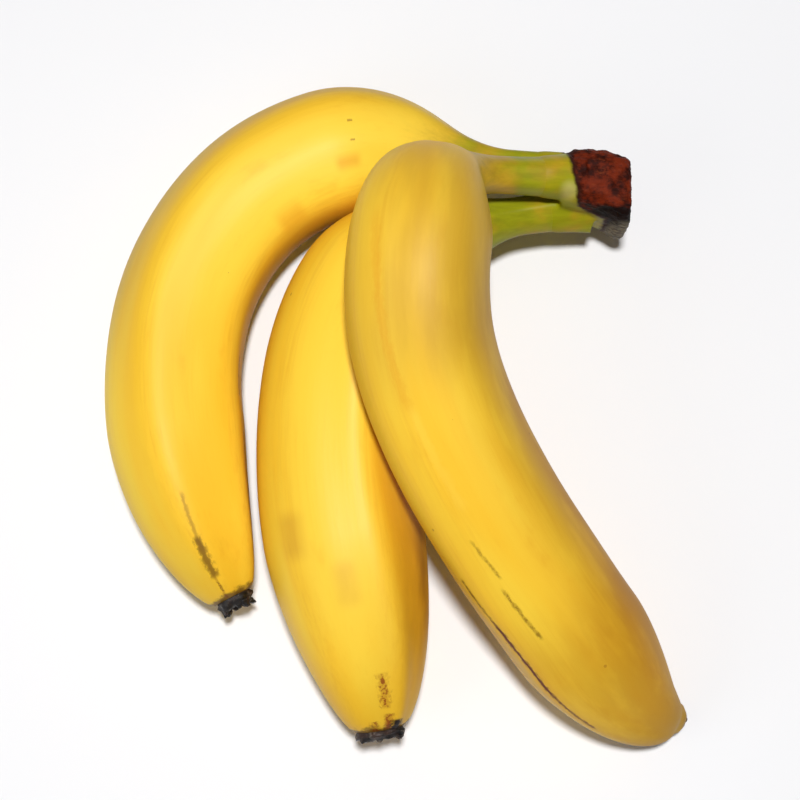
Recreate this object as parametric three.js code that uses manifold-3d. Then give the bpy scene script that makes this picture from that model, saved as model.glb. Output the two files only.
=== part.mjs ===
// A bunch of bananas as picked, lying on a flat surface: a cut crown, the fruits that grow from it,
// each with its own stalk, and the dried blossom end on the tip of each fruit.
// Millimetres, +Z up. The origin is the centre of the bunch's footprint, on the surface that it lies on.
import * as THREE from "three";
import { mergeVertices } from "three/addons/utils/BufferGeometryUtils.js";
import Module from "manifold-3d";

const wasm = await Module();
wasm.setup();

const SECTION_SIDES = 24; // points round a fruit's section
const SECTION_SPACING = 5; // between sections along a fruit
const STUB_LENGTH = 14; // stalk that belongs to the crown, from the start of each path
const JOINT_GAP = 0.3; // between touching solids
const FLARE = 2; // how much wider a stalk is where it grows out of the crown
const FLARE_REACH = 7; // along the stalk
const TAPER_ROUNDNESS = 1.6; // exponents that shape the narrowing towards the blossom end
const TAPER_FULLNESS = 0.7;
const CURVE_SAMPLES = 400; // places along a path where its length and its directions are worked out
const WELD = 1e-3; // points closer than this are one

// Each path runs from the middle of the crown, along the stalk and the fruit, to the blossom end.
// Ridges are degrees round the section: 0 faces up at mid-fruit, and positive turns to the inside of
// the bend.
const FRUITS = {
  left: {
    path: [
      [46, 54.5, 17], [36, 56.5, 17.5], [24, 57.5, 18], [12, 59.5, 18], [-1, 64, 17.5], [-18, 62.5, 17],
      [-38.5, 52.5, 17], [-54, 30, 17], [-58.5, 3, 17], [-54.6, -22, 17], [-48, -40, 16.5],
      [-41.5, -52.5, 15.5],
    ],
    stalk: 5.2,
    body: 17.7,
    tip: 5.2,
    neck: [18, 66],
    taper: 46,
    ridges: [-91, -19, 53, 125, 197],
    ridgeHeight: 0.05,
    ridgeSharpness: 9,
  },
  middle: {
    path: [
      [49, 48, 16], [41, 46.5, 17.5], [30, 44.7, 19], [14, 41, 20], [-4.5, 30.5, 20], [-14, 11, 20],
      [-17, -15, 20], [-14, -40, 20], [-9.5, -60, 19], [-6.5, -75, 18], [-5, -85, 17],
    ],
    stalk: 5,
    body: 20.6,
    tip: 6.2,
    neck: [18, 64],
    taper: 48,
    ridges: [-111, -39, 33, 105, 177],
    ridgeHeight: 0.05,
    ridgeSharpness: 9,
  },
  front: {
    path: [
      [46, 52.5, 27], [34, 51.5, 30.5], [24, 51.5, 33], [12.5, 49.5, 40], [6.5, 40.5, 55], [3.5, 24, 60],
      [3.5, 5, 55.5], [10.5, -14, 48], [22.5, -35, 39], [37, -54.5, 28], [51, -72, 15.2], [61.5, -80.5, 9],
      [68.5, -82, 6],
    ],
    stalk: 4.8,
    body: 17.6,
    tip: 4.4,
    neck: [22, 66],
    taper: 36,
    ridges: [-129, -57, 15, 87, 159],
    ridgeHeight: 0.05,
    ridgeSharpness: 9,
  },
};

// The crown is what two outlines have in common: [x, y] seen from above, and [y, z] seen from the cut.
const CROWN = {
  fromAbove: [
    [42, 60], [46, 59.5], [54, 58.5], [57.5, 56], [58.5, 49], [58, 41], [54.5, 41], [52, 44], [42, 46],
  ],
  fromTheCut: [[61, 10], [62, 20], [57, 33], [47, 34], [40.5, 22], [39.5, 10], [44, 5], [56, 5]],
  rounding: 1.5,
  roundingSteps: 3,
  slabDepth: 200, // deeper than the crown, so that only the outlines shape it
};

// [radius as a share of the tip's, distance out from the tip], from the root to the dished middle.
const BLOSSOM_END = {
  profile: [[0, 0], [0.9, 0], [1, 1.2], [0.715, 2.8], [0.55, 3.5], [0, 2.7]],
  sides: 12,
};

const PEEL = new THREE.MeshStandardMaterial({ color: 0xf3b82e, roughness: 0.42, metalness: 0 });
const CUT_CROWN = new THREE.MeshStandardMaterial({ color: 0x5c2413, roughness: 0.7, metalness: 0 });
const DRIED_BLOSSOM = new THREE.MeshStandardMaterial({ color: 0x2a1c16, roughness: 0.85, metalness: 0 });

// A smooth curve (uniform cubic B-spline) that starts and ends at its first and last points.
class GrowthCurve extends THREE.Curve {
  constructor(points) {
    super();
    const inner = points.map((p) => new THREE.Vector3(...p));
    const before = inner[0].clone().multiplyScalar(2).sub(inner[1]);
    const after = inner.at(-1).clone().multiplyScalar(2).sub(inner.at(-2));
    this.controls = [before, ...inner, after];
    this.arcLengthDivisions = CURVE_SAMPLES;
  }

  getPoint(t, target = new THREE.Vector3()) {
    const spans = this.controls.length - 3;
    const span = Math.min(Math.floor(t * spans), spans - 1);
    const f = t * spans - span;
    const weights = [ // of the four control points nearby
      (1 - f) ** 3 / 6,
      (3 * f ** 3 - 6 * f ** 2 + 4) / 6,
      (-3 * f ** 3 + 3 * f ** 2 + 3 * f + 1) / 6,
      f ** 3 / 6,
    ];
    target.set(0, 0, 0);
    weights.forEach((weight, i) => target.addScaledVector(this.controls[span + i], weight));
    return target;
  }
}

// Upright directions along the curve that never spin round it, true to +Z at mid-fruit.
function uprights(curve, count) {
  const tangents = Array.from({ length: count + 1 }, (_, i) => curve.getTangentAt(i / count));
  const ups = [];
  const halfway = Math.round(count / 2);
  ups[halfway] = new THREE.Vector3(0, 0, 1).projectOnPlane(tangents[halfway]).normalize();
  for (let i = halfway + 1; i <= count; i++) {
    ups[i] = ups[i - 1].clone().projectOnPlane(tangents[i]).normalize();
  }
  for (let i = halfway - 1; i >= 0; i--) {
    ups[i] = ups[i + 1].clone().projectOnPlane(tangents[i]).normalize();
  }
  return ups.map((up, i) => ({ up, inward: up.clone().cross(tangents[i]) }));
}

function radiusAlong(fruit, along, length) {
  const flare = FLARE * Math.exp(-along / FLARE_REACH);
  const swell = THREE.MathUtils.smoothstep(along, ...fruit.neck);
  const narrowing = Math.max(0, 1 - (length - along) / fruit.taper);
  const kept = (1 - narrowing ** TAPER_ROUNDNESS) ** TAPER_FULLNESS;
  const share = fruit.tip / fruit.body;
  return (fruit.stalk + flare + (fruit.body - fruit.stalk) * swell) * (share + (1 - share) * kept);
}

function ridgeAt(fruit, angle) {
  const bumps = fruit.ridges.map((r) => {
    return Math.exp(fruit.ridgeSharpness * (Math.cos(angle - THREE.MathUtils.degToRad(r)) - 1));
  });
  return 1 + fruit.ridgeHeight * (bumps.reduce((sum, bump) => sum + bump, 0) - 1);
}

// The stretch of a fruit between two distances along its path: a lathed blank bent along the path,
// with its ridges raised, and pressed flat where it lies on the surface.
function stretchOf(fruit, from, to) {
  const curve = new GrowthCurve(fruit.path);
  const length = curve.getLength();
  const end = to ?? length;
  const frames = uprights(curve, CURVE_SAMPLES);
  const steps = Math.max(2, Math.ceil((end - from) / SECTION_SPACING));
  const profile = [new THREE.Vector2(0, from)];
  for (let i = 0; i <= steps; i++) {
    const along = from + ((end - from) * i) / steps;
    profile.push(new THREE.Vector2(radiusAlong(fruit, along, length), along));
  }
  profile.push(new THREE.Vector2(0, end));
  const blank = new THREE.LatheGeometry(profile.reverse(), SECTION_SIDES);
  const position = blank.getAttribute("position");
  for (let i = 0; i < position.count; i++) {
    const [x, along, z] = [position.getX(i), position.getY(i), position.getZ(i)];
    const share = THREE.MathUtils.clamp(along / length, 0, 1);
    const angle = Math.atan2(x, z);
    const radius = Math.hypot(x, z) * ridgeAt(fruit, angle);
    const frame = frames[Math.round(share * CURVE_SAMPLES)];
    const point = curve
      .getPointAt(share)
      .addScaledVector(frame.up, radius * Math.cos(angle))
      .addScaledVector(frame.inward, radius * Math.sin(angle));
    position.setXYZ(i, point.x, point.y, Math.max(0, point.z));
  }
  return blank;
}

function solidOf(geometry) {
  const bare = geometry.clone().deleteAttribute("normal").deleteAttribute("uv");
  const merged = mergeVertices(bare, WELD);
  return new wasm.Manifold(
    new wasm.Mesh({
      numProp: 3,
      vertProperties: merged.getAttribute("position").array,
      triVerts: new Uint32Array(merged.index.array),
    }),
  );
}

function geometryOf(solid) {
  const mesh = solid.getMesh();
  return new THREE.BufferGeometry()
    .setAttribute("position", new THREE.BufferAttribute(mesh.vertProperties, 3))
    .setIndex(new THREE.BufferAttribute(mesh.triVerts, 1));
}

function named(name, geometry, material) {
  const mesh = new THREE.Mesh(geometry, material);
  mesh.name = name;
  return mesh;
}

// A closed slab of an outline, with rounded rims, as deep as asked and centred on the plane z = 0.
function slab(outline, depth, rounding) {
  const shape = new THREE.Shape(outline.map((point) => new THREE.Vector2(...point)));
  return new THREE.ExtrudeGeometry(shape, {
    depth: depth - 2 * rounding,
    bevelThickness: rounding,
    bevelSize: rounding,
    bevelOffset: -rounding,
    bevelSegments: CROWN.roundingSteps,
  }).translate(0, 0, rounding - depth / 2);
}

// The cushion that the stalks grow from, with its cut face on +X, joined to the root of each stalk.
function crown() {
  const fromAbove = slab(CROWN.fromAbove, CROWN.slabDepth, CROWN.rounding);
  const fromTheCut = slab(CROWN.fromTheCut, CROWN.slabDepth, CROWN.rounding);
  // The second outline's own axes are turned to lie along +Y and +Z.
  const alongX = new THREE.Vector3(1, 0, 0);
  const alongY = new THREE.Vector3(0, 1, 0);
  const alongZ = new THREE.Vector3(0, 0, 1);
  fromTheCut.applyMatrix4(new THREE.Matrix4().makeBasis(alongY, alongZ, alongX));
  let joined = solidOf(fromAbove).intersect(solidOf(fromTheCut));
  for (const fruit of Object.values(FRUITS)) {
    joined = joined.add(solidOf(stretchOf(fruit, 0, STUB_LENGTH)));
  }
  return geometryOf(joined);
}

// The dried remains of the flower: a short, slightly dished stub.
function blossomEnd(fruit) {
  const profile = BLOSSOM_END.profile.map(([share, out]) => new THREE.Vector2(share * fruit.tip, out));
  return new THREE.LatheGeometry(profile, BLOSSOM_END.sides);
}

const bunch = new THREE.Group();
bunch.add(named("crown", crown(), CUT_CROWN));
for (const [side, fruit] of Object.entries(FRUITS)) {
  bunch.add(named(`banana_${side}`, stretchOf(fruit, STUB_LENGTH + JOINT_GAP), PEEL));
  const curve = new GrowthCurve(fruit.path);
  const direction = curve.getTangentAt(1);
  const stub = named(`blossom_end_${side}`, blossomEnd(fruit), DRIED_BLOSSOM);
  stub.position.copy(curve.getPointAt(1)).addScaledVector(direction, JOINT_GAP);
  stub.quaternion.setFromUnitVectors(new THREE.Vector3(0, 1, 0), direction);
  bunch.add(stub);
}

const box = new THREE.Box3().setFromObject(bunch, true);
const centre = box.getCenter(new THREE.Vector3());
bunch.position.set(-centre.x, -centre.y, -box.min.z);

const part = new THREE.Group();
part.add(bunch);
export default part;
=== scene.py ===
"""A bunch of ripe bananas lying on a pale surface: waxy ridged peels that turn green towards the stalks,
a cut and dried crown, and the crumbly dried blossom end on the tip of each fruit."""

import math
import random

import bmesh
import bpy
import numpy as np
from mathutils import Matrix, Vector, noise


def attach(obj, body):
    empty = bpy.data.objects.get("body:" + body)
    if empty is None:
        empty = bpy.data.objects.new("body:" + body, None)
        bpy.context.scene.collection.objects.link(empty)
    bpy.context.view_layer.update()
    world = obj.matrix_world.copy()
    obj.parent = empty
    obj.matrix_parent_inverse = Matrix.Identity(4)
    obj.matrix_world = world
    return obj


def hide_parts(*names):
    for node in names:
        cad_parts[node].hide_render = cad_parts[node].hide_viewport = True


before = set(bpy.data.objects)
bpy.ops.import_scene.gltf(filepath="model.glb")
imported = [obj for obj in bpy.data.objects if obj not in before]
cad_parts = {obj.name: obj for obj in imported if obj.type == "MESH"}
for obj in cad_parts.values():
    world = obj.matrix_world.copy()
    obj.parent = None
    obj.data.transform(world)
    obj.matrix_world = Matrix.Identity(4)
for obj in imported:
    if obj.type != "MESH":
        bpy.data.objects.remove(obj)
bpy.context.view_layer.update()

MM = 0.001
SHIFT = Vector((0.9, 4.99, 0))  # from the paths' origin to the middle of the bunch's footprint, in mm

# ---- The fruits, in millimetres ----
# Each path runs from the middle of the crown, along the stalk and the fruit, to the blossom end.
# Ridges are (degrees round the section at the crown, degrees at the blossom end, height as a share of the
# radius, sharpness): 0 faces up at mid-fruit, and positive turns to the inside of the bend.
# The lip is how far the peel closes over the root of the dried flower.

FRUITS = {
    "left": dict(
        path=[
            (46, 54.5, 17), (36, 56.5, 17.5), (24, 57.5, 18), (12, 59.5, 18), (-1, 64, 17.5), (-18, 62.5, 17),
            (-38.5, 52.5, 17), (-54, 30, 17), (-58.5, 3, 17), (-54.6, -22, 17), (-48, -40, 16.5), (-41.5, -52.5, 15.5),
        ],
        stalk=5.2, body=17.7, tip=5.2, neck=(18, 66), taper=46,
        ridges=[
            (-100, -88, 0.06, 8), (-50, -4, 0.085, 18), (50, 60, 0.095, 18), (125, 125, 0.06, 9), (197, 197, 0.07, 9),
        ],
        lip=0.0,
    ),
    "middle": dict(
        path=[
            (49, 48, 16), (41, 46.5, 17.5), (30, 44.7, 19), (14, 41, 20), (-4.5, 30.5, 20), (-14, 11, 20),
            (-17, -15, 20), (-14, -40, 20), (-9.5, -60, 19), (-6.5, -75, 18), (-5, -85, 17),
        ],
        stalk=5.0, body=20.6, tip=6.2, neck=(18, 64), taper=48,
        ridges=[
            (-111, -111, 0.06, 8), (-42, -38, 0.045, 7), (-4, 36, 0.09, 30), (98, 105, 0.06, 10), (177, 177, 0.07, 9),
        ],
        lip=0.0,
    ),
    "front": dict(
        path=[
            (46, 52.5, 27), (34, 51.5, 30.5), (24, 51.5, 33), (12.5, 49.5, 40), (6.5, 40.5, 55), (3.5, 24, 60),
            (3.5, 5, 55.5), (10.5, -14, 48), (22.5, -35, 39), (37, -54.5, 28), (51, -72, 15.2), (61.5, -80.5, 9),
            (68.5, -82, 6),
        ],
        stalk=4.8, body=17.6, tip=4.4, neck=(22, 66), taper=36,
        ridges=[
            (-129, -129, 0.06, 9), (-66, -44, 0.08, 18), (-42, -24, 0.02, 70), (26, 36, 0.06, 9), (87, 92, 0.05, 9),
            (159, 159, 0.05, 9),
        ],
        lip=2.6,
    ),
}

AROUND = 96  # points round a fruit
STEP = 1.2  # between the rings of a fruit
FLARE, FLARE_REACH = 2, 7  # how much wider a stalk is at the crown, and over what length
TAPER_ROUNDNESS, TAPER_FULLNESS = 1.6, 0.7  # exponents that shape the narrowing to the blossom end
ROOT = 6  # how far along its path a fruit's own piece starts, inside the crown
FLATS = 0.065  # how far the flats between the ridges lie below the plain radius, as a share of it


def smoothstep(value, low, high):
    share = min(1.0, max(0.0, (value - low) / (high - low)))
    return share * share * (3 - 2 * share)


class Growth:
    """A fruit's path: a smooth curve through the crown, the stalk and the fruit, with upright directions."""

    SAMPLES = 800

    def __init__(self, fruit):
        self.fruit = fruit
        inner = np.array(fruit["path"], float)
        controls = np.vstack([2 * inner[0] - inner[1], inner, 2 * inner[-1] - inner[-2]])
        spans = len(controls) - 3
        t = np.linspace(0, spans, 6 * self.SAMPLES)
        span = np.minimum(t.astype(int), spans - 1)
        f = (t - span)[:, None]
        weights = [(1 - f) ** 3, 3 * f**3 - 6 * f**2 + 4, -3 * f**3 + 3 * f**2 + 3 * f + 1, f**3]
        fine = sum(w * controls[span + i] for i, w in enumerate(weights)) / 6
        run = np.concatenate([[0], np.cumsum(np.linalg.norm(np.diff(fine, axis=0), axis=1))])
        self.length = run[-1]
        self.stations = np.linspace(0, self.length, self.SAMPLES + 1)
        self.points = np.stack([np.interp(self.stations, run, fine[:, i]) for i in range(3)], axis=1)
        tangents = np.gradient(self.points, axis=0)
        self.tangents = tangents / np.linalg.norm(tangents, axis=1)[:, None]
        self.ups = self._uprights()

    def _uprights(self):
        """True to +Z at mid-fruit, and never spinning round the path."""
        ups = np.zeros_like(self.tangents)
        middle = self.SAMPLES // 2

        def level(direction, i):
            direction = direction - self.tangents[i] * direction.dot(self.tangents[i])
            return direction / np.linalg.norm(direction)

        ups[middle] = level(np.array([0.0, 0.0, 1.0]), middle)
        for i in range(middle + 1, self.SAMPLES + 1):
            ups[i] = level(ups[i - 1], i)
        for i in range(middle - 1, -1, -1):
            ups[i] = level(ups[i + 1], i)
        return ups

    def at(self, along):
        """The point, the upright and the inward direction at a distance along the path."""
        place = min(max(along / self.length, 0), 1) * self.SAMPLES
        i = min(int(place), self.SAMPLES - 1)
        f = place - i
        point = self.points[i] * (1 - f) + self.points[i + 1] * f
        tangent = self.tangents[i] * (1 - f) + self.tangents[i + 1] * f
        up = self.ups[i] * (1 - f) + self.ups[i + 1] * f
        point = point + tangent * (along - min(max(along, 0), self.length))
        return Vector(point), Vector(up), Vector(np.cross(up, tangent))

    def radius(self, along):
        fruit = self.fruit
        flare = FLARE * math.exp(-along / FLARE_REACH)
        swell = smoothstep(along, *fruit["neck"])
        narrowing = max(0.0, 1 - (self.length - along) / fruit["taper"])
        kept = (1 - min(1.0, narrowing) ** TAPER_ROUNDNESS) ** TAPER_FULLNESS
        share = fruit["tip"] / fruit["body"]
        full = fruit["stalk"] + flare + (fruit["body"] - fruit["stalk"]) * swell
        past = max(0.0, along - self.length)
        return full * (share + (1 - share) * kept) * (1 - 0.06 * past * past)

    def ridge_angles(self, along):
        """Where each ridge stands round the section, at a distance along the path."""
        share = min(max(along / self.length, 0), 1)
        return [math.radians(first + (last - first) * share) for first, last, _, _ in self.fruit["ridges"]]

    def section(self, along, angle):
        """The radius with the ridges raised. They stand out more at the neck and towards the blossom end."""
        to_tip = self.length - along
        sharpening = 1 + 0.45 * (1 - smoothstep(to_tip, 8, 45)) + 0.5 * (1 - smoothstep(along, 30, 75))
        height = -FLATS
        for turn, (_, _, share, sharpness) in zip(self.ridge_angles(along), self.fruit["ridges"]):
            height += share * math.exp(sharpness * (math.cos(angle - turn) - 1))
        lumps = noise.noise(Vector((math.sin(angle) * 1.3, math.cos(angle) * 1.3, along / 21))) * 0.012
        return self.radius(along) * (1 + height * sharpening + lumps)

    def surface(self, along, angle, proud=0.0):
        """The point of the peel at that place, in the row frame in metres."""
        point, up, inward = self.at(along)
        radius = self.section(along, angle) + proud
        point = point + up * (radius * math.cos(angle)) + inward * (radius * math.sin(angle)) + SHIFT
        point.z = max(0.0, point.z)
        return point * MM


GROWTHS = {side: Growth(fruit) for side, fruit in FRUITS.items()}


# ---- Mesh helpers ----


def finished(name, bm, *materials):
    """The bmesh as a smooth object at the origin, with its faces pointing out."""
    bmesh.ops.recalc_face_normals(bm, faces=bm.faces)
    for face in bm.faces:
        face.smooth = True
    mesh = bpy.data.meshes.new(name)
    bm.to_mesh(mesh)
    bm.free()
    for material in materials:
        mesh.materials.append(material)
    piece = bpy.data.objects.new(name, mesh)
    bpy.context.scene.collection.objects.link(piece)
    return piece


def loft(bm, segments, stations, place):
    """A closed tube: a ring is extruded once for each station, and place says where each of its points goes."""
    spoke = bm.verts.layers.int.get("spoke") or bm.verts.layers.int.new("spoke")
    ring = bmesh.ops.create_circle(bm, segments=segments, radius=MM)["verts"]
    for i, vert in enumerate(ring):
        vert[spoke] = i
    edges = list({edge for vert in ring for edge in vert.link_edges})
    for vert in ring:
        place(vert, stations[0], 2 * math.pi * vert[spoke] / segments)
    bmesh.ops.contextual_create(bm, geom=edges)
    for station in stations[1:]:
        grown = bmesh.ops.extrude_edge_only(bm, edges=edges)["geom"]
        ring = {item for item in grown if isinstance(item, bmesh.types.BMVert)}
        edges = [item for item in grown if isinstance(item, bmesh.types.BMEdge) and set(item.verts) <= ring]
        for vert in ring:
            place(vert, station, 2 * math.pi * vert[spoke] / segments)
    bmesh.ops.contextual_create(bm, geom=edges)


# ---- The fruits ----


def banana(side, material):
    """A fruit with its stalk. Each point keeps where it grew, as if the fruit were straight, for its finish."""
    growth = GROWTHS[side]
    bm = bmesh.new()
    grown = bm.verts.layers.float_vector.new("growth")
    ridge = bm.verts.layers.float.new("ridge")

    def place(vert, along, angle):
        vert.co = growth.surface(along, angle)
        radius = growth.radius(along)
        vert[grown] = Vector((radius * math.sin(angle), radius * math.cos(angle), along))
        vert[ridge] = max(math.exp(90 * (math.cos(angle - turn) - 1)) for turn in growth.ridge_angles(along))

    reach = growth.length + growth.fruit["lip"] - ROOT
    steps = round(reach / STEP)
    stations = [ROOT + reach * i / steps for i in range(steps + 1)]
    loft(bm, AROUND, stations, place)
    return finished(f"banana_{side}_peel", bm, material)


BLOSSOM_ENDS = {  # the flaps on the rim and their length in mm; the stub's depth and girth as shares of the usual
    "left": dict(seed=1, flaps=10, flap_length=1.6, depth=0.8, girth=0.88),
    "middle": dict(seed=2, flaps=6, flap_length=0.8, depth=0.75, girth=0.95),
    "front": dict(seed=3, flaps=0, flap_length=0.0, depth=0.2, girth=0.45),
}


def blossom_end(side, material):
    """The dried remains of the flower: a shrivelled, dished stub with a ragged rim of withered flaps."""
    growth = GROWTHS[side]
    kind = BLOSSOM_ENDS[side]
    seed, flaps = kind["seed"], kind["flaps"]
    tip = growth.fruit["tip"] * kind["girth"]
    pick = random.Random(seed)
    lobes = pick.randint(5, 6)
    phase = pick.uniform(0, 2 * math.pi)
    profile = [(-0.8, 0.9), (0.2, 0.98), (0.9, 1.03), (1.6, 1.0), (2.3, 0.93), (2.9, 0.8), (3.1, 0.62)]
    profile += [(2.6, 0.45), (2.0, 0.3), (1.7, 0.14)]
    start, up, inward = growth.at(growth.length + growth.fruit["lip"])
    tangent = inward.cross(up)
    bm = bmesh.new()

    def place(vert, station, angle):
        out, share = station
        wander = noise.noise(Vector((math.cos(angle) * 2.2, math.sin(angle) * 2.2, out * 0.9 + seed * 7.3)))
        free = min(1.0, max(0.0, out))
        crumple = 1 + 0.08 * math.cos(lobes * angle + phase) * free + 0.14 * wander
        radius = tip * share * crumple
        lift = out * kind["depth"] + 0.8 * wander * free * kind["depth"]
        point = start + tangent * lift + up * (radius * math.cos(angle)) + inward * (radius * math.sin(angle))
        point = point + SHIFT
        point.z = max(0.05, point.z)
        vert.co = point * MM

    loft(bm, 48, profile, place)
    for flap in range(flaps):
        angle = flap * 2 * math.pi / flaps + pick.uniform(-0.3, 0.3)
        outward = up * math.cos(angle) + inward * math.sin(angle)
        root = start + outward * (tip * pick.uniform(0.62, 0.86)) + tangent * pick.uniform(1.5, 2.2)
        withered_flap(bm, pick, root, outward, tangent, kind["flap_length"])
    return finished(f"blossom_end_{side}_dried", bm, material)


def withered_flap(bm, pick, root, outward, tangent, usual_length):
    """One shrivelled, blunt flap on the rim of a blossom end."""
    length, width = usual_length * pick.uniform(0.7, 1.3), pick.uniform(1.4, 2.8)
    curl, lean = pick.uniform(-0.4, 0.5), pick.uniform(-0.4, 0.35)
    aside = tangent.cross(outward)
    flap = bmesh.new()
    bmesh.ops.create_cube(flap, size=1)
    bmesh.ops.subdivide_edges(flap, edges=flap.edges, cuts=4, use_grid_fill=True)
    for vert in flap.verts:
        across, thick, run = vert.co.x, vert.co.y, vert.co.z + 0.5
        rounded = math.sqrt(max(0.05, 1 - 0.75 * (run * run + 1.2 * across * across)))
        bend = curl * run * run
        rough = noise.noise(Vector((across * 2.4, thick * 2.4, run * 2.4 + width * 9))) * 0.45
        point = root + aside * (across * width * rounded + rough * 0.5)
        point = point + tangent * (run * length * math.cos(lean + bend) + rough * 0.5)
        point = point + outward * (run * length * math.sin(lean + bend) + thick * 1.5 * rounded + rough * 0.5)
        point = point + SHIFT
        point.z = max(0.05, point.z)
        vert.co = point * MM
    mesh = bpy.data.meshes.new("flap")
    flap.to_mesh(mesh)
    flap.free()
    bm.from_mesh(mesh)
    bpy.data.meshes.remove(mesh)


# ---- The crown ----

CROWN_SECTIONS = [  # (x, lowest y, highest y, lowest z, highest z), in mm, from the stalks to the cut
    (40.5, 45.5, 58.5, 11, 30),
    (44, 44.8, 59.8, 9, 32),
    (48, 44.2, 60, 8, 33),
    (52, 42.4, 59.4, 7, 33.4),
    (55, 40.3, 58.8, 6, 33),
    (57.2, 39.9, 58, 6, 32.4),
    (58.2, 40.7, 57, 7, 31.4),
]
CROWN_SQUARENESS = 4
CROWN_VOXEL = 0.4  # mm


def crown(material):
    """The cushion and the roots of the stalks, grown together with soft creases, and rough where it is cut."""
    bm = bmesh.new()

    def place_cushion(vert, station, angle):
        x, low_y, high_y, low_z, high_z = station
        c, s = math.cos(angle), math.sin(angle)
        reach = (abs(c) ** CROWN_SQUARENESS + abs(s) ** CROWN_SQUARENESS) ** (-1 / CROWN_SQUARENESS)
        y = (low_y + high_y) / 2 + (high_y - low_y) / 2 * reach * c
        z = (low_z + high_z) / 2 + (high_z - low_z) / 2 * reach * s
        vert.co = (Vector((x, y, z)) + SHIFT) * MM

    loft(bm, 48, CROWN_SECTIONS, place_cushion)
    for growth in GROWTHS.values():

        def place_root(vert, along, angle):
            vert.co = growth.surface(along, angle, proud=0.35 - 0.9 * smoothstep(along, 9, 15))

        loft(bm, 48, [1 + 0.75 * i for i in range(21)], place_root)
    piece = finished("crown_cut", bm, material)
    remesh = piece.modifiers.new("grown_together", "REMESH")
    remesh.mode = "VOXEL"
    remesh.voxel_size = CROWN_VOXEL * MM
    soften = piece.modifiers.new("soft_creases", "SMOOTH")
    soften.factor = 0.5
    soften.iterations = 10
    apply_modifiers(piece)
    roughen_cut(piece)
    return piece


def apply_modifiers(piece):
    graph = bpy.context.evaluated_depsgraph_get()
    mesh = bpy.data.meshes.new_from_object(piece.evaluated_get(graph))
    piece.modifiers.clear()
    piece.data = mesh


# Where the peel ends and the dried cut begins, in mm. The boundary runs across the crown and down its near
# side, so it goes by the height on the crown's sloping face: how far the peel reaches along X at the far side,
# how much further for each mm down the face, and the tongue of peel low down.
FACE_SLOPE = 0.177
CUT_START, CUT_FAR_SIDE, CUT_SLOPE = 42.6, 61.9, 0.22
TONGUE_SIDE, TONGUE_SLOPE, TONGUE_END = 49.6, 2.1, 52.2


def cut_edge(y, z):
    """How far along X, in mm, the peel reaches over the crown."""
    level = y + FACE_SLOPE * z
    reach = CUT_START + CUT_SLOPE * (CUT_FAR_SIDE - level) + TONGUE_SLOPE * max(0.0, TONGUE_SIDE - level)
    return min(TONGUE_END, reach)


def roughen_cut(piece):
    """The dried cut is fibrous and lumpy, and stands a little lower than the peel round it."""
    bm = bmesh.new()
    bm.from_mesh(piece.data)
    moves = {}
    for vert in bm.verts:
        place = vert.co / MM - SHIFT
        ragged = noise.noise(place * 0.45) * 0.8
        cut = smoothstep(place.x - cut_edge(place.y, place.z) + ragged, -0.3, 0.6)
        lumps = noise.fractal(place * 0.35, 1.0, 2.0, 4) * 0.34
        fibres = noise.noise(Vector((place.x * 0.5, place.y * 1.9, place.z * 1.9))) * 0.16
        moves[vert] = vert.normal * ((lumps + fibres - 0.25) * cut * MM)
    for vert, move in moves.items():
        vert.co += move
    for face in bm.faces:
        face.smooth = True
    bm.to_mesh(piece.data)
    bm.free()


# ---- Materials ----


def srgb(red, green, blue):
    """A display colour, 0 to 255, as linear RGBA."""
    linear = [c / 12.92 if c <= 0.04045 else ((c + 0.055) / 1.055) ** 2.4 for c in (red / 255, green / 255, blue / 255)]
    return (*linear, 1.0)


class Nodes:
    """Short ways to add nodes to a tree. A value may be a number, a tuple or another node's output."""

    def __init__(self, tree):
        self.tree = tree

    def add(self, kind, values=None, **settings):
        node = self.tree.nodes.new(kind)
        for name, value in settings.items():
            setattr(node, name, value)
        for name, value in (values or {}).items():
            if isinstance(value, bpy.types.NodeSocket):
                self.tree.links.new(value, node.inputs[name])
            else:
                node.inputs[name].default_value = value
        return node

    def math(self, operation, *values, clamp=False):
        node = self.add("ShaderNodeMath", dict(enumerate(values)), operation=operation, use_clamp=clamp)
        return node.outputs[0]

    def vector(self, operation, *values):
        return self.add("ShaderNodeVectorMath", dict(enumerate(values)), operation=operation).outputs[0]

    def ease(self, value, low, high, start=0.0, end=1.0):
        """start where value is low, end where it is high, and smooth between them."""
        values = {"Value": value, "From Min": low, "From Max": high, "To Min": start, "To Max": end}
        return self.add("ShaderNodeMapRange", values, interpolation_type="SMOOTHSTEP").outputs["Result"]

    def blend(self, share, first, second, blend_type="MIX"):
        node = self.add("ShaderNodeMix", data_type="RGBA", blend_type=blend_type)
        for name, value in (("Factor_Float", share), ("A_Color", first), ("B_Color", second)):
            socket = next(s for s in node.inputs if s.identifier == name)
            if isinstance(value, bpy.types.NodeSocket):
                self.tree.links.new(value, socket)
            else:
                socket.default_value = value
        return next(s for s in node.outputs if s.identifier == "Result_Color")

    def cloud(self, place, scale, detail=2.0, roughness=0.5, distortion=0.0):
        values = {"Vector": place, "Scale": scale, "Detail": detail, "Roughness": roughness, "Distortion": distortion}
        return self.add("ShaderNodeTexNoise", values).outputs["Fac"]


def node_group(name, inputs, outputs):
    """An empty shader group with named sockets, and its own two end nodes."""
    group = bpy.data.node_groups.new(name, "ShaderNodeTree")
    for direction, sockets in (("INPUT", inputs), ("OUTPUT", outputs)):
        for socket_name, kind in sockets.items():
            group.interface.new_socket(socket_name, in_out=direction, socket_type=f"NodeSocket{kind}")
    nodes = Nodes(group)
    return nodes, nodes.add("NodeGroupInput").outputs, nodes.add("NodeGroupOutput").inputs


CROWN_RIPENESS = 0.4


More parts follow.
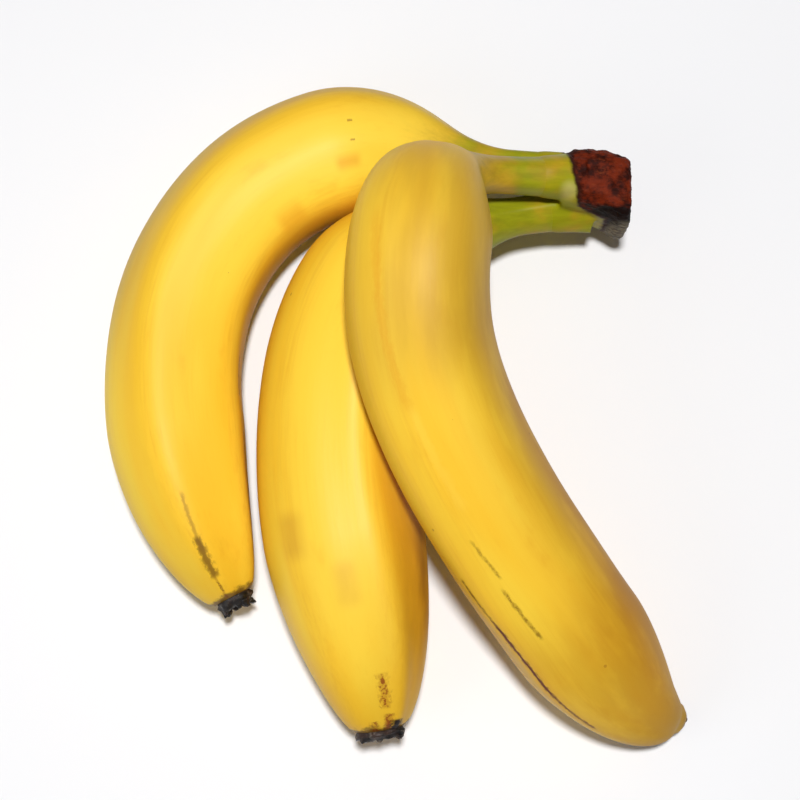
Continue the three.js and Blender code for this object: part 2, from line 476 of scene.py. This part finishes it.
def stalk_green_group():
    """The skin of the stalks and the crown's peel: green, riper and more olive in places."""
    nodes, given, result = node_group("stalk green", {"Place": "Vector", "Ripeness": "Float"}, {"Color": "Color"})
    patches = nodes.cloud(given["Place"], 0.09, 3, 0.55)
    streaks = nodes.cloud(nodes.vector("MULTIPLY", given["Place"], (0.1, 0.7, 0.7)), 1.0, 3, 0.6)
    ripe = nodes.ease(nodes.math("ADD", patches, nodes.math("SUBTRACT", given["Ripeness"], 0.5)), 0.35, 0.7)
    skin = nodes.blend(ripe, srgb(146, 148, 18), srgb(184, 148, 34))
    shade = nodes.ease(streaks, 0.25, 0.75, 0.86, 1.08)
    tree = nodes.tree
    tinted = nodes.add("ShaderNodeVectorMath", {0: skin}, operation="SCALE")
    tree.links.new(shade, tinted.inputs["Scale"])
    tree.links.new(tinted.outputs[0], result["Color"])
    return tree


def peel_group(stalk_green):
    """Ripe peel in the fruit's own growth coordinates, in mm: round the fruit in X and Y, along it in Z."""
    inputs = {
        "Growth": "Vector", "Ridge": "Float", "Length": "Float", "Seed": "Float", "Green Reach": "Float",
        "Stalk Ripeness": "Float", "Gold": "Float", "Tip Tan And Shade": "Float", "Dark Tip": "Float", "Place": "Vector",
    }
    outputs = {"Color": "Color", "Roughness": "Float", "Height": "Float"}
    nodes, given, result = node_group("ripe peel", inputs, outputs)
    tree = nodes.tree
    own = nodes.add("ShaderNodeCombineXYZ", {"X": given["Seed"], "Y": given["Seed"], "Z": given["Seed"]}).outputs[0]
    place = nodes.vector("ADD", given["Growth"], nodes.vector("MULTIPLY", own, (97.0, 31.0, 57.0)))
    along = nodes.add("ShaderNodeSeparateXYZ", {0: given["Growth"]}).outputs["Z"]
    to_tip = nodes.math("SUBTRACT", given["Length"], along)

    long_place = nodes.vector("MULTIPLY", place, (1.0, 1.0, 0.16))
    mottle = nodes.cloud(long_place, 0.055, 3, 0.5)
    fibres = nodes.cloud(nodes.vector("MULTIPLY", place, (1.0, 1.0, 0.06)), 1.1, 3, 0.6)
    fine = nodes.cloud(nodes.vector("MULTIPLY", place, (1.0, 1.0, 0.35)), 2.2, 2, 0.6)

    skin = nodes.blend(nodes.ease(mottle, 0.36, 0.66), srgb(247, 209, 64), srgb(246, 194, 46))
    skin = nodes.blend(nodes.ease(fibres, 0.5, 0.8, 0, 0.1), skin, srgb(230, 160, 28))
    smudge = nodes.cloud(nodes.vector("MULTIPLY", place, (1.0, 1.0, 0.4)), 0.11, 4, 0.62)
    skin = nodes.blend(nodes.ease(smudge, 0.58, 0.78, 0, 0.3), skin, srgb(224, 152, 26))
    ridge_wear = nodes.math("MULTIPLY", given["Ridge"], nodes.ease(fibres, 0.35, 0.7, 0.0, 0.2))
    skin = nodes.blend(ridge_wear, skin, srgb(212, 150, 36))
    skin = nodes.blend(given["Gold"], skin, srgb(230, 162, 12))

    cells = nodes.add("ShaderNodeTexVoronoi", {"Vector": place, "Scale": 0.13})
    rare = nodes.add("ShaderNodeSeparateColor", {0: cells.outputs["Color"]}).outputs[0]
    size = nodes.ease(rare, 0.72, 1.0, 0.0, 0.085)
    freckle = nodes.math("LESS_THAN", nodes.math("ADD", cells.outputs["Distance"], nodes.math("MULTIPLY", fine, 0.04)), size)
    skin = nodes.blend(nodes.math("MULTIPLY", freckle, 0.55), skin, srgb(140, 84, 30))

    edge = nodes.math("ADD", along, nodes.math("MULTIPLY", nodes.math("SUBTRACT", mottle, 0.5), 26))
    edge = nodes.math("ADD", edge, nodes.math("MULTIPLY", nodes.math("SUBTRACT", fibres, 0.5), 9))
    green = nodes.math("SUBTRACT", 1.0, nodes.ease(nodes.math("SUBTRACT", edge, given["Green Reach"]), -9, 11))
    stalk = nodes.add("ShaderNodeGroup", node_tree=stalk_green)
    tree.links.new(given["Place"], stalk.inputs["Place"])
    beyond_crown = nodes.ease(along, 13, 24)
    own_ripeness = nodes.math("SUBTRACT", given["Stalk Ripeness"], CROWN_RIPENESS)
    ripeness = nodes.math("ADD", CROWN_RIPENESS, nodes.math("MULTIPLY", own_ripeness, beyond_crown))
    tree.links.new(ripeness, stalk.inputs["Ripeness"])
    skin = nodes.blend(green, skin, stalk.outputs["Color"])

    blotch = nodes.math("SUBTRACT", nodes.cloud(place, 0.45, 3, 0.6), 0.5)
    tip_edge = nodes.math("ADD", to_tip, nodes.math("MULTIPLY", blotch, 4))
    # Tan towards the blossom end: the peel's own colour, and on the front fruit, where it is set strongest, also
    # painted shade.
    tip_tan_and_shade = nodes.math("MULTIPLY", nodes.ease(tip_edge, 2, 22, 1, 0), given["Tip Tan And Shade"])
    skin = nodes.blend(tip_tan_and_shade, skin, srgb(184, 146, 22))
    rim = nodes.math("MULTIPLY", nodes.ease(tip_edge, 0.2, 1.6, 1, 0), given["Dark Tip"])
    skin = nodes.blend(rim, skin, srgb(80, 48, 20))
    tree.links.new(skin, result["Color"])

    rough = nodes.ease(mottle, 0.3, 0.7, 0.44, 0.52)
    tree.links.new(nodes.math("ADD", rough, nodes.math("MULTIPLY", green, -0.04)), result["Roughness"])
    height = nodes.math("ADD", nodes.math("MULTIPLY", fibres, 0.6), nodes.math("MULTIPLY", fine, 0.25))
    tree.links.new(height, result["Height"])
    return tree


def stroke_group():
    """A mask for a ragged stroke on the peel, between two places given by distance along and angle round."""
    inputs = {
        "Growth": "Vector", "Start": "Float", "End": "Float", "Start Angle": "Float", "End Angle": "Float",
        "Width": "Float", "Ragged": "Float", "Broken": "Float",
    }
    nodes, given, result = node_group("ragged stroke", inputs, {"Mask": "Float"})
    parts = nodes.add("ShaderNodeSeparateXYZ", {0: given["Growth"]}).outputs
    angle = nodes.math("ARCTAN2", parts["X"], parts["Y"])
    radius = nodes.math("SQRT", nodes.math("ADD", nodes.math("MULTIPLY", parts["X"], parts["X"]),
                                           nodes.math("MULTIPLY", parts["Y"], parts["Y"])))
    span = nodes.math("SUBTRACT", given["End"], given["Start"])
    share = nodes.math("DIVIDE", nodes.math("SUBTRACT", parts["Z"], given["Start"]), span)
    turn = nodes.math("MULTIPLY", share, nodes.math("SUBTRACT", given["End Angle"], given["Start Angle"]))
    centre = nodes.math("RADIANS", nodes.math("ADD", given["Start Angle"], turn))
    stretched = nodes.vector("MULTIPLY", given["Growth"], (1.0, 1.0, 0.5))
    wander = nodes.math("SUBTRACT", nodes.cloud(stretched, 0.25, 3, 0.6), 0.5)
    aside = nodes.math("MULTIPLY", nodes.math("SUBTRACT", angle, centre), radius)
    aside = nodes.math("ABSOLUTE", nodes.math("ADD", aside, nodes.math("MULTIPLY", wander, given["Ragged"])))
    speckle = nodes.cloud(stretched, 1.3, 3, 0.65)
    lean = nodes.math("MULTIPLY", given["Width"], nodes.ease(speckle, 0.3, 0.65, 0.45, 1.15))
    across = nodes.math("SUBTRACT", 1.0, nodes.ease(nodes.math("DIVIDE", aside, lean), 0.2, 1.2))
    ends = nodes.math("MULTIPLY", nodes.ease(share, 0.0, 0.12), nodes.ease(share, 0.88, 1.0, 1.0, 0.0))
    gaps = nodes.math("MULTIPLY", given["Broken"], nodes.ease(nodes.cloud(given["Growth"], 1.1, 2, 0.6), 0.58, 0.46))
    whole = nodes.math("MULTIPLY", across, ends)
    nodes.tree.links.new(nodes.math("MULTIPLY", whole, nodes.math("SUBTRACT", 1.0, gaps)), result["Mask"])
    return nodes.tree


def principled(name):
    """A new material, its node helper and its Principled shader."""
    material = bpy.data.materials.new(name)
    material.use_nodes = True
    shader = material.node_tree.nodes["Principled BSDF"]
    return material, Nodes(material.node_tree), shader


def wash_group():
    """A mask for a soft patch on the peel, round one direction and between two distances along."""
    inputs = {"Growth": "Vector", "Start": "Float", "End": "Float", "Angle": "Float", "Reach": "Float"}
    nodes, given, result = node_group("soft wash", inputs, {"Mask": "Float"})
    parts = nodes.add("ShaderNodeSeparateXYZ", {0: given["Growth"]}).outputs
    angle = nodes.math("ARCTAN2", parts["X"], parts["Y"])
    square = nodes.math("ADD", nodes.math("MULTIPLY", parts["X"], parts["X"]),
                        nodes.math("MULTIPLY", parts["Y"], parts["Y"]))
    turn = nodes.math("SUBTRACT", angle, nodes.math("RADIANS", given["Angle"]))
    turn = nodes.math("ABSOLUTE", nodes.math("WRAP", turn, math.pi, -math.pi))
    across = nodes.ease(nodes.math("MULTIPLY", turn, nodes.math("SQRT", square)), 0.0, given["Reach"], 1.0, 0.0)
    span = nodes.math("SUBTRACT", given["End"], given["Start"])
    share = nodes.math("DIVIDE", nodes.math("SUBTRACT", parts["Z"], given["Start"]), span)
    ends = nodes.math("MULTIPLY", nodes.ease(share, 0.0, 0.3), nodes.ease(share, 0.7, 1.0, 1.0, 0.0))
    uneven = nodes.cloud(nodes.vector("MULTIPLY", given["Growth"], (1.0, 1.0, 0.3)), 0.16, 3, 0.55)
    mask = nodes.math("MULTIPLY", across, nodes.math("MULTIPLY", ends, nodes.ease(uneven, 0.25, 0.6, 0.65, 1.0)))
    nodes.tree.links.new(mask, result["Mask"])
    return nodes.tree


OLIVE, BROWN, RUST, CRACK = srgb(126, 90, 18), srgb(122, 70, 16), srgb(134, 52, 12), srgb(100, 32, 8)
# The near-black is both a real charred blotch on the middle fruit and a painted shadow under the front fruit's tip.
BRUISE, AMBER, PALE, CHAR_AND_PAINTED_SHADOW = srgb(190, 128, 34), srgb(218, 140, 20), srgb(252, 218, 90), srgb(26, 12, 8)
# Painted shade: tan and deep brown that darken the sides of the fruits turned from the light and the top of the front
# fruit's raised shoulder.
PAINTED_SHADE_TAN, PAINTED_SHADE_BROWN = srgb(182, 136, 38), srgb(176, 112, 6)

# The front fruit's high Tip Tan is partly painted shade as well as the tip's own tan.
PEEL_KINDS = {
    "left": {"Seed": 1, "Green Reach": 33, "Stalk Ripeness": 0.6, "Gold": 0.0, "Tip Tan And Shade": 0.15, "Dark Tip": 0.8},
    "middle": {"Seed": 2, "Green Reach": 36, "Stalk Ripeness": 0.4, "Gold": 0.15, "Tip Tan And Shade": 0.25, "Dark Tip": 0.8},
    "front": {"Seed": 3, "Green Reach": 36, "Stalk Ripeness": 0.75, "Gold": 0.1, "Tip Tan And Shade": 0.7, "Dark Tip": 0.3},
}
# The tan and deep brown washes are painted shade; the amber, bruise and brown ones are the peel's own colour.
COLOUR_AND_SHADE_WASHES = {  # (start, end, angle, reach, colour, strength), in mm and degrees
    "left": [
        (24, 150, -88, 24, PAINTED_SHADE_TAN, 0.7),
        (150, 202, -95, 18, PAINTED_SHADE_TAN, 0.2),
        (20, 150, 100, 22, PAINTED_SHADE_BROWN, 0.25),
        (56, 66, 26, 3.2, AMBER, 0.45),
        (78, 92, 49, 5, AMBER, 0.4),
    ],
    "middle": [
        (80, 178, 78, 24, PAINTED_SHADE_BROWN, 0.7),
        (20, 170, -100, 14, PAINTED_SHADE_TAN, 0.1),
        (119, 133, -37.5, 6, BRUISE, 0.4),
        (132, 146, -4, 5, BRUISE, 0.25),
        (124, 149, 74, 5, BROWN, 0.35),
    ],
    "front": [
        (44, 214, 84, 31, PAINTED_SHADE_BROWN, 0.75),
        (34, 106, 20, 44, PAINTED_SHADE_TAN, 0.6),
        (150, 226, 30, 50, PAINTED_SHADE_BROWN, 0.6),
        (60, 205, -110, 22, PAINTED_SHADE_TAN, 0.35),
    ],
}
MARKS_AND_PAINTED_SHADOW = {  # (start, end, start angle, end angle, width, ragged, broken, colour, strength), in mm and degrees
    "left": [
        (171, 187, -3.8, -5.5, 0.7, 0.8, 0.0, OLIVE, 0.5),
        (182, 193.5, -5.5, -7.5, 1.5, 0.6, 0.0, OLIVE, 0.9),
        (192, 199, -7.5, -11, 0.5, 0.8, 0.5, BROWN, 0.8),
        (58.0, 59.4, -11, -11, 0.5, 0.2, 0.0, BROWN, 0.6),
        (58.0, 59.4, 7.5, 7.5, 0.45, 0.2, 0.0, BROWN, 0.6),
        (134, 148, 74, 74, 1.0, 1.2, 0.4, RUST, 0.6),
        (157, 171, 80, 80, 1.0, 1.2, 0.4, RUST, 0.7),
    ],
    "middle": [
        (160.5, 169.5, 11, 14, 1.9, 0.4, 0.6, RUST, 0.9),
        (170.3, 174.6, 17, 20, 1.6, 0.4, 0.5, RUST, 0.9),
        (171.8, 174.8, -8, -8, 1.5, 0.4, 0.7, RUST, 0.8),
        (172, 177.0, 33, 38, 2.4, 0.6, 0.0, CHAR_AND_PAINTED_SHADOW, 1.0),
    ],
    "front": [
        (64, 104, -43, -27, 1.7, 0.4, 0.2, AMBER, 0.3),
        (100, 128, -27, -22.5, 1.6, 0.2, 0.0, PALE, 0.15),
        (133, 145, -31, -26, 0.6, 0.4, 0.4, OLIVE, 0.6),
        (146, 162.5, -30.5, -26, 0.7, 0.4, 0.4, OLIVE, 0.8),
        (141, 157, -61, -55, 0.8, 0.6, 0.4, CRACK, 0.85),
        (153, 179, -55.5, -48.8, 1.0, 0.6, 0.0, CRACK, 1.0),
        (176, 192, -49.5, -45, 0.7, 0.6, 0.2, CRACK, 0.95),
        # Painted shadow: a dark band on the underside of the front fruit by its blossom end, where shade falls.
        (200, 214, -86, -86, 2.2, 0.4, 0.0, CHAR_AND_PAINTED_SHADOW, 0.85),
    ],
}


def group_node(nodes, group, values):
    """A node that uses the group, with each named input set or linked."""
    node = nodes.add("ShaderNodeGroup", node_tree=group)
    for name, value in values.items():
        if isinstance(value, bpy.types.NodeSocket):
            nodes.tree.links.new(value, node.inputs[name])
        else:
            node.inputs[name].default_value = value
    return node.outputs


def peel(side, groups):
    """One fruit's peel, with its own washes of colour and its own marks. Some washes are painted shade, and one mark is
    a painted shadow.
    """
    material, nodes, shader = principled(f"peel_{side}")
    tree = nodes.tree
    growth = nodes.add("ShaderNodeAttribute", attribute_name="growth").outputs["Vector"]
    ridge = nodes.add("ShaderNodeAttribute", attribute_name="ridge").outputs["Fac"]
    place = nodes.vector("SCALE", nodes.add("ShaderNodeTexCoord").outputs["Object"])
    place.node.inputs["Scale"].default_value = 1 / MM
    length = GROWTHS[side].length + FRUITS[side]["lip"]
    settings = {"Growth": growth, "Ridge": ridge, "Length": length, "Place": place, **PEEL_KINDS[side]}
    skin = group_node(nodes, groups["peel"], settings)
    color, height = skin["Color"], skin["Height"]
    # Each wash lays a colour over a soft patch: some are the peel's own tones, the tan and deep brown ones are painted
    # shade.
    for start, end, angle, reach, wash_color, strength in COLOUR_AND_SHADE_WASHES[side]:
        values = {"Growth": growth, "Start": start, "End": end, "Angle": angle, "Reach": reach}
        mask = group_node(nodes, groups["wash"], values)["Mask"]
        color = nodes.blend(nodes.math("MULTIPLY", mask, strength), color, wash_color)
    for start, end, start_angle, end_angle, width, ragged, broken, mark_color, strength in MARKS_AND_PAINTED_SHADOW[side]:
        values = {
            "Growth": growth, "Start": start, "End": end, "Start Angle": start_angle, "End Angle": end_angle,
            "Width": width, "Ragged": ragged, "Broken": broken,
        }
        mask = group_node(nodes, groups["stroke"], values)["Mask"]
        mask = nodes.math("MULTIPLY", mask, strength)
        color = nodes.blend(mask, color, mark_color)
        height = nodes.math("SUBTRACT", height, nodes.math("MULTIPLY", mask, 0.5))
    bump = nodes.add("ShaderNodeBump", {"Height": height, "Strength": 0.35, "Distance": 0.12 * MM})
    tree.links.new(color, shader.inputs["Base Color"])
    tree.links.new(skin["Roughness"], shader.inputs["Roughness"])
    tree.links.new(bump.outputs["Normal"], shader.inputs["Normal"])
    shader.inputs["Specular IOR Level"].default_value = 0.22
    return material


PALE_PATCH = (42.5, 53.2, 0.0)  # a paler spot of peel beside the cut: x, and level on the face


def crown_material(groups):
    """Green peel that ends in a dark ragged edge, and beyond it the red-brown dried cut, with painted shade making it
    black low down on its near face.
    """
    material, nodes, shader = principled("crown_skin_and_cut")
    tree = nodes.tree
    place = nodes.vector("SCALE", nodes.add("ShaderNodeTexCoord").outputs["Object"])
    place.node.inputs["Scale"].default_value = 1 / MM
    place = nodes.vector("SUBTRACT", place, tuple(SHIFT))
    parts = nodes.add("ShaderNodeSeparateXYZ", {0: place}).outputs
    green = nodes.add("ShaderNodeGroup", node_tree=groups["stalk"])
    tree.links.new(nodes.vector("ADD", place, tuple(SHIFT)), green.inputs["Place"])
    green.inputs["Ripeness"].default_value = CROWN_RIPENESS

    level = nodes.math("ADD", parts["Y"], nodes.math("MULTIPLY", parts["Z"], FACE_SLOPE))
    slope = nodes.math("MULTIPLY", nodes.math("SUBTRACT", CUT_FAR_SIDE, level), CUT_SLOPE)
    near = nodes.math("MAXIMUM", nodes.math("SUBTRACT", TONGUE_SIDE, level), 0.0)
    tongue = nodes.math("MULTIPLY", near, TONGUE_SLOPE)
    edge = nodes.math("MINIMUM", nodes.math("ADD", CUT_START, nodes.math("ADD", slope, tongue)), TONGUE_END)
    ragged = nodes.math("SUBTRACT", nodes.cloud(place, 0.3, 4, 0.6), 0.5)
    past = nodes.math("ADD", nodes.math("SUBTRACT", parts["X"], edge), nodes.math("MULTIPLY", ragged, 1.8))

    grain = nodes.cloud(nodes.vector("MULTIPLY", place, (0.35, 1.0, 1.0)), 0.9, 5, 0.7)
    mottle = nodes.cloud(place, 0.28, 4, 0.6)
    dried = nodes.blend(nodes.ease(mottle, 0.36, 0.62), srgb(46, 9, 2), srgb(112, 36, 11))
    dried = nodes.blend(nodes.ease(grain, 0.54, 0.74, 0, 0.4), dried, srgb(152, 72, 36))
    dried = nodes.blend(nodes.ease(grain, 0.46, 0.32, 0, 0.7), dried, srgb(24, 6, 4))
    # Painted shade: the cut turns near black low down on its near face, which is turned from the light.
    painted_shade_level = nodes.math("ADD", level, nodes.math("MULTIPLY", nodes.math("SUBTRACT", mottle, 0.5), 6))
    dried = nodes.blend(nodes.ease(painted_shade_level, 51.0, 48.6, 0, 0.97), dried, srgb(14, 5, 4))
    # A pale grey patch low on the cut's near side.
    low_down = nodes.math("MULTIPLY", nodes.ease(level, 46.2, 44.4), nodes.ease(parts["X"], 50, 53))
    pale_grey_low_patch = nodes.math("MULTIPLY", low_down, nodes.ease(grain, 0.36, 0.56, 0.2, 0.9))
    dried = nodes.blend(pale_grey_low_patch, dried, srgb(138, 130, 112))

    on_face = nodes.add("ShaderNodeCombineXYZ", {"X": parts["X"], "Y": level}).outputs[0]
    from_patch = nodes.add("ShaderNodeVectorMath", {0: on_face, 1: PALE_PATCH}, operation="DISTANCE")
    pale = nodes.ease(from_patch.outputs["Value"], 3.4, 0.6, 0, 0.6)
    skin = nodes.blend(pale, green.outputs["Color"], srgb(206, 194, 116))
    skin = nodes.blend(nodes.ease(past, -1.0, 0.1), skin, srgb(52, 20, 10))
    color = nodes.blend(nodes.ease(past, 0.0, 1.2), skin, dried)
    rough = nodes.ease(past, -0.8, 0.4, 0.42, 0.62)
    height = nodes.math("MULTIPLY", grain, nodes.ease(past, -0.8, 0.6, 0.12, 1.0))
    bump = nodes.add("ShaderNodeBump", {"Height": height, "Strength": 0.7, "Distance": 0.4 * MM})
    tree.links.new(color, shader.inputs["Base Color"])
    tree.links.new(rough, shader.inputs["Roughness"])
    tree.links.new(bump.outputs["Normal"], shader.inputs["Normal"])
    shader.inputs["Specular IOR Level"].default_value = 0.1
    return material


def dried_blossom_material():
    """Near-black, crumbly and matt, with grey-brown fibres."""
    material, nodes, shader = principled("dried_blossom")
    tree = nodes.tree
    place = nodes.vector("SCALE", nodes.add("ShaderNodeTexCoord").outputs["Object"])
    place.node.inputs["Scale"].default_value = 1 / MM
    grain = nodes.cloud(place, 0.55, 5, 0.7)
    patches = nodes.cloud(place, 0.35, 3, 0.55)
    color = nodes.blend(nodes.ease(patches, 0.42, 0.64), srgb(13, 7, 6), srgb(52, 32, 24))
    color = nodes.blend(nodes.ease(grain, 0.54, 0.72, 0, 0.6), color, srgb(158, 146, 132))
    bump = nodes.add("ShaderNodeBump", {"Height": grain, "Strength": 0.9, "Distance": 0.4 * MM})
    tree.links.new(color, shader.inputs["Base Color"])
    tree.links.new(nodes.ease(grain, 0.3, 0.7, 0.38, 0.8), shader.inputs["Roughness"])
    tree.links.new(bump.outputs["Normal"], shader.inputs["Normal"])
    return material


# ---- The set: floor, light and camera ----

CAMERA_DISTANCE = 0.5
CAMERA_ELEVATION = math.radians(80)
VIEW_HALF_WIDTH = 0.1048  # what the camera sees at that distance, to each side of its middle
SENSOR_WIDTH = 36


def pale_floor():
    bm = bmesh.new()
    bmesh.ops.create_grid(bm, x_segments=1, y_segments=1, size=3)
    material, nodes, shader = principled("pale_surface")
    shader.inputs["Base Color"].default_value = srgb(240, 240, 242)
    shader.inputs["Roughness"].default_value = 0.6
    floor = finished("floor", bm, material)


def area_light(name, place, size, power, tint=(1, 1, 1)):
    """A soft lamp that faces the middle of the bunch."""
    data = bpy.data.lights.new(name, "AREA")
    data.shape = "DISK"
    data.size = size
    data.energy = power
    data.color = tint
    lamp = bpy.data.objects.new(name, data)
    lamp.location = place
    lamp.rotation_euler = (Vector((0, 0, 0.02)) - Vector(place)).to_track_quat("-Z", "Y").to_euler()
    bpy.context.scene.collection.objects.link(lamp)


BRIGHT_SIDE = (-0.8, -0.3, 0.52)  # where the soft light from all round is strongest
DIM, BRIGHT = 0.02, 0.15


def studio():
    """Soft light from all round, a little stronger from one side, and a lamp high over the bunch."""
    world = bpy.data.worlds.new("studio")
    world.use_nodes = True
    nodes = Nodes(world.node_tree)
    toward = nodes.add("ShaderNodeTexCoord").outputs["Generated"]
    facing = nodes.add("ShaderNodeVectorMath", {0: toward, 1: BRIGHT_SIDE}, operation="DOT_PRODUCT")
    background = world.node_tree.nodes["Background"]
    background.inputs["Color"].default_value = (1.0, 1.0, 1.0, 1.0)
    strength = nodes.ease(facing.outputs["Value"], -1.0, 1.0, DIM, BRIGHT)
    world.node_tree.links.new(strength, background.inputs["Strength"])
    bpy.context.scene.world = world
    bpy.context.scene.view_settings.view_transform = "Standard"
    area_light("key", (0.02, 0.025, 1.1), 0.12, 11.0)
    area_light("window", (-0.45, -0.25, 0.4), 0.4, 0.45)


def camera():
    data = bpy.data.cameras.new("camera")
    data.sensor_width = SENSOR_WIDTH
    data.lens = SENSOR_WIDTH / 2 * CAMERA_DISTANCE / VIEW_HALF_WIDTH
    data.clip_start = 0.01
    eye = bpy.data.objects.new("camera", data)
    target = SHIFT * MM
    away = Vector((0, -math.cos(CAMERA_ELEVATION), math.sin(CAMERA_ELEVATION)))
    eye.location = target + away * CAMERA_DISTANCE
    eye.rotation_euler = (-away).to_track_quat("-Z", "Y").to_euler()
    bpy.context.scene.collection.objects.link(eye)
    bpy.context.scene.camera = eye


# ---- Making the bunch ----

camera()
studio()
pale_floor()

stalk_green = stalk_green_group()
groups = {
    "stalk": stalk_green,
    "peel": peel_group(stalk_green),
    "wash": wash_group(),
    "stroke": stroke_group(),
}

for side in FRUITS:
    piece = banana(side, peel(side, groups))
    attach(piece, "root")
    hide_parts(f"banana_{side}")

dried_blossom = dried_blossom_material()
for side in FRUITS:
    piece = blossom_end(side, dried_blossom)
    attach(piece, "root")
    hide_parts(f"blossom_end_{side}")

piece = crown(crown_material(groups))
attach(piece, "root")
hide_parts("crown")
